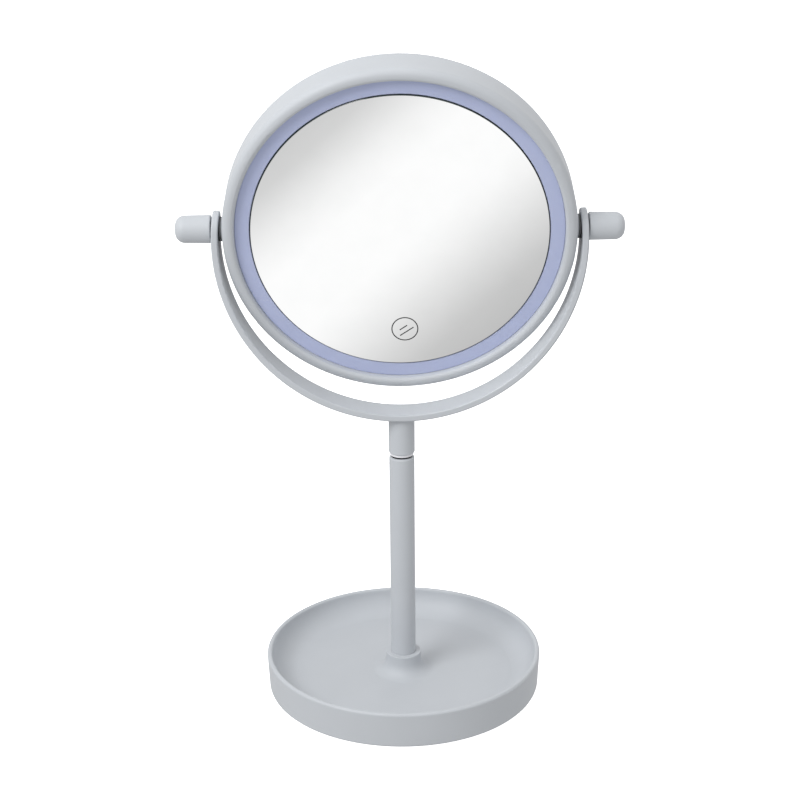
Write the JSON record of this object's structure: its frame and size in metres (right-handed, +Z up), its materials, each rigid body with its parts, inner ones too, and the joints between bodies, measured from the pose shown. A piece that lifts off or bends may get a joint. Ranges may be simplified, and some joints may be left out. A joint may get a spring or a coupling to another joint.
{
  "type": "lighted vanity mirror",
  "caption": "Round lighted table mirror whose head tilts in a swivelling yoke on a stem, with a small round tray as its base.",
  "frame": {"origin": "centre of the base on the standing surface, on the stem's axis", "axes": "+Z up along the stem, the glass faces -Y, +X along the tilt axis"},
  "size_m": [0.2546, 0.1678, 0.3875],
  "materials": {
    "shell_plastic": "soft matt light grey paint over moulded plastic",
    "painted_metal": "matt light grey powder coat",
    "mirror_glass": "silvered glass, polished",
    "light_diffuser": "translucent opal with a cool violet-blue cast, satin",
    "white_plastic": "white, matt",
    "black_bush": "black, satin moulded",
    "screw_steel": "zinc plated",
    "raw_steel": "oiled dark steel",
    "brass": "plain",
    "green_board": "green solder mask, satin",
    "white_board": "white solder mask",
    "led_phosphor": "yellow silicone",
    "wire_red": "insulation, satin",
    "battery_wrap": "printed-free shrink sleeve",
    "foam_tape": "white foam",
    "rubber_pad": "matt foam rubber"
  },
  "bodies": {
    "base": {"foot_pad": "rubber_pad", "bottom_cover": "shell_plastic", "base_screws": "screw_steel", "ballast_plate": "raw_steel", "base_tray": "shell_plastic", "stem_bolt": "screw_steel", "stem_washer": "screw_steel", "foot_insert": "brass", "lower_tube": "painted_metal", "swivel_bush": "black_bush"},
    "yoke": {"swivel_pin": "screw_steel", "pin_clip": "raw_steel", "swivel_washer": "white_plastic", "upper_socket": "painted_metal", "yoke_band": "painted_metal", "pivot_bush_left": "black_bush", "pivot_bush_right": "black_bush"},
    "head": {"front_housing": "shell_plastic", "rear_cover": "shell_plastic", "cover_screws": "screw_steel", "mirror_glass": "mirror_glass", "glass_tape": "foam_tape", "diffuser_ring": "light_diffuser", "light_tray": "white_plastic", "led_board": "white_board", "led_chips": "led_phosphor", "touch_sensor": "brass", "control_board": "green_board", "board_parts": "black_bush", "board_screws": "screw_steel", "lead_wires": "wire_red", "battery_cells": "battery_wrap", "contact_springs": "screw_steel", "contact_plates": "screw_steel", "pivot_plates": "screw_steel", "pivot_shafts": "screw_steel", "pivot_collars": "shell_plastic", "knob_left": "shell_plastic", "knob_right": "shell_plastic"},
    "battery_door": {"battery_door": "shell_plastic"}
  },
  "joints": [
    {"name": "yoke_swivel", "type": "hinge", "parent": "base", "child": "yoke", "pos_m": [0, 0, 0.1505], "axis": [0, 0, 1], "continuous": true},
    {"name": "head_tilt", "type": "hinge", "parent": "yoke", "child": "head", "pos_m": [0, 0, 0.2881], "axis": [1, 0, 0], "continuous": true},
    {"name": "door_lift", "type": "slide", "parent": "head", "child": "battery_door", "axis": [0, 0.9724, 0.2334], "range_m": [0, 0.03]}
  ]
}
